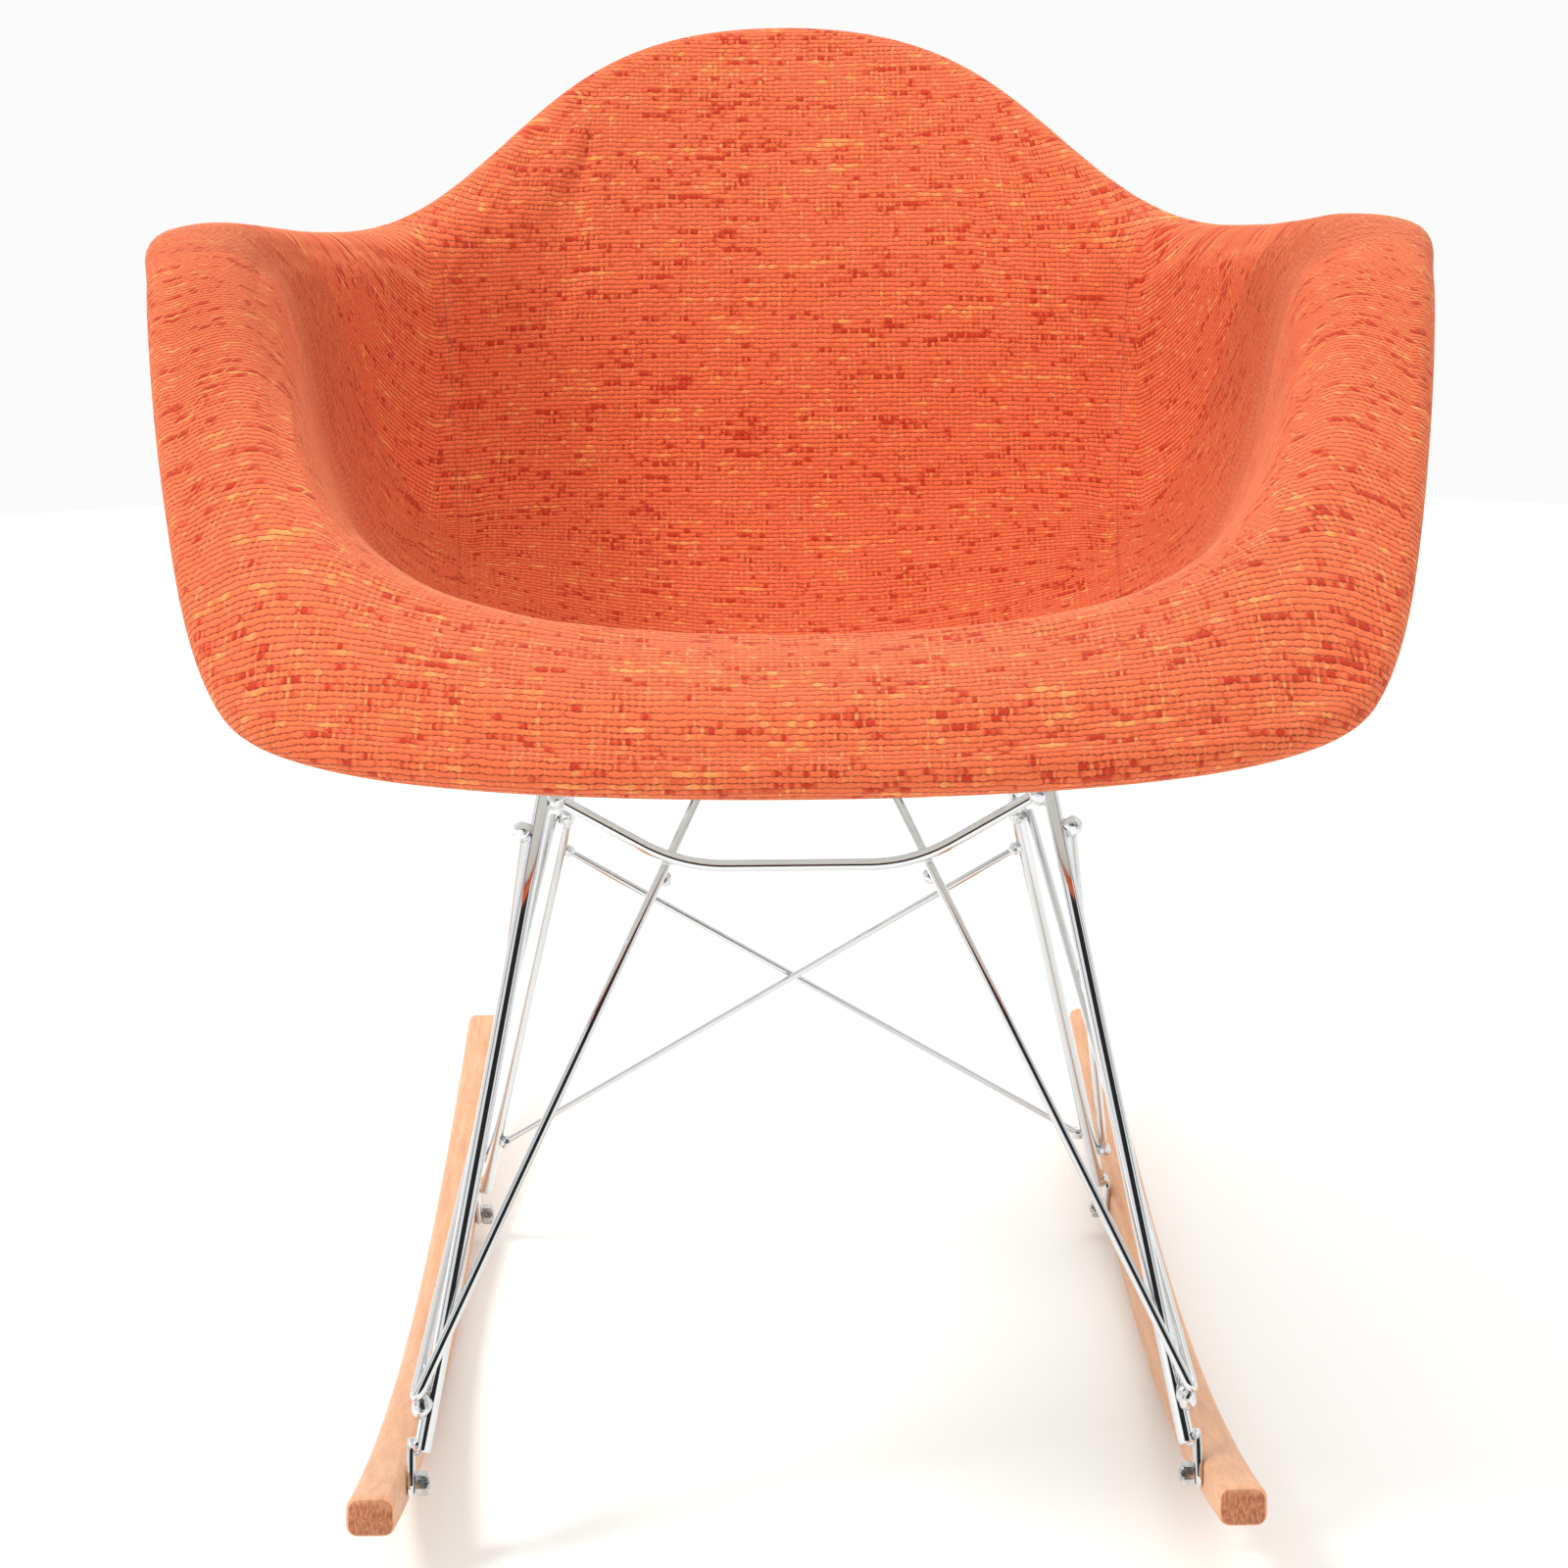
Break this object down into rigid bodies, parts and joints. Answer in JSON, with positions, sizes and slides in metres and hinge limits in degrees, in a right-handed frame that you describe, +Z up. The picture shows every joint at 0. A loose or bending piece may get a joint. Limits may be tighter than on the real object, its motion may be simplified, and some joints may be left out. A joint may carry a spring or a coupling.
{
  "type": "rocking chair",
  "caption": "Upholstered bucket armchair on a welded chrome wire base, bolted to a pair of curved wooden rocker runners.",
  "frame": {"origin": "on the floor, at the middle of the chair's footprint, midway between the runners and between their tips", "axes": "+Z up, -Y towards the front edge of the seat, +X to the sitter's left and to the right of someone who faces the chair"},
  "size_m": [0.631, 0.68, 0.6855],
  "materials": {
    "upholstery": "matte",
    "foam": "matte",
    "shell_plastic": "satin",
    "chrome_wire": "polished",
    "zinc_steel": "satin",
    "beech": "satin",
    "rubber": "matte"
  },
  "bodies": {
    "root": {"seat_shell": "shell_plastic", "foam_pad": "foam", "inner_cover": "upholstery", "outer_cover": "upholstery", "threaded_insert_front_right": "zinc_steel", "seat_mount_front_right": "rubber", "mount_plate_front_right": "chrome_wire", "mount_screw_front_right": "zinc_steel", "threaded_insert_front_left": "zinc_steel", "seat_mount_front_left": "rubber", "mount_plate_front_left": "chrome_wire", "mount_screw_front_left": "zinc_steel", "threaded_insert_rear_right": "zinc_steel", "seat_mount_rear_right": "rubber", "mount_plate_rear_right": "chrome_wire", "mount_screw_rear_right": "zinc_steel", "threaded_insert_rear_left": "zinc_steel", "seat_mount_rear_left": "rubber", "mount_plate_rear_left": "chrome_wire", "mount_screw_rear_left": "zinc_steel", "front_cross_wire": "chrome_wire", "rear_cross_wire": "chrome_wire", "rear_brace_front_rod": "chrome_wire", "rear_brace_back_rod": "chrome_wire", "runner_right": "beech", "front_leg_right": "chrome_wire", "rear_leg_right": "chrome_wire", "hairpin_brace_right": "chrome_wire", "side_brace_right": "chrome_wire", "foot_bolt_front_right": "zinc_steel", "foot_nut_front_right": "zinc_steel", "foot_bolt_rear_right": "zinc_steel", "foot_nut_rear_right": "zinc_steel", "runner_left": "beech", "front_leg_left": "chrome_wire", "rear_leg_left": "chrome_wire", "hairpin_brace_left": "chrome_wire", "side_brace_left": "chrome_wire", "foot_bolt_front_left": "zinc_steel", "foot_nut_front_left": "zinc_steel", "foot_bolt_rear_left": "zinc_steel", "foot_nut_rear_left": "zinc_steel"}
  },
  "joints": []
}
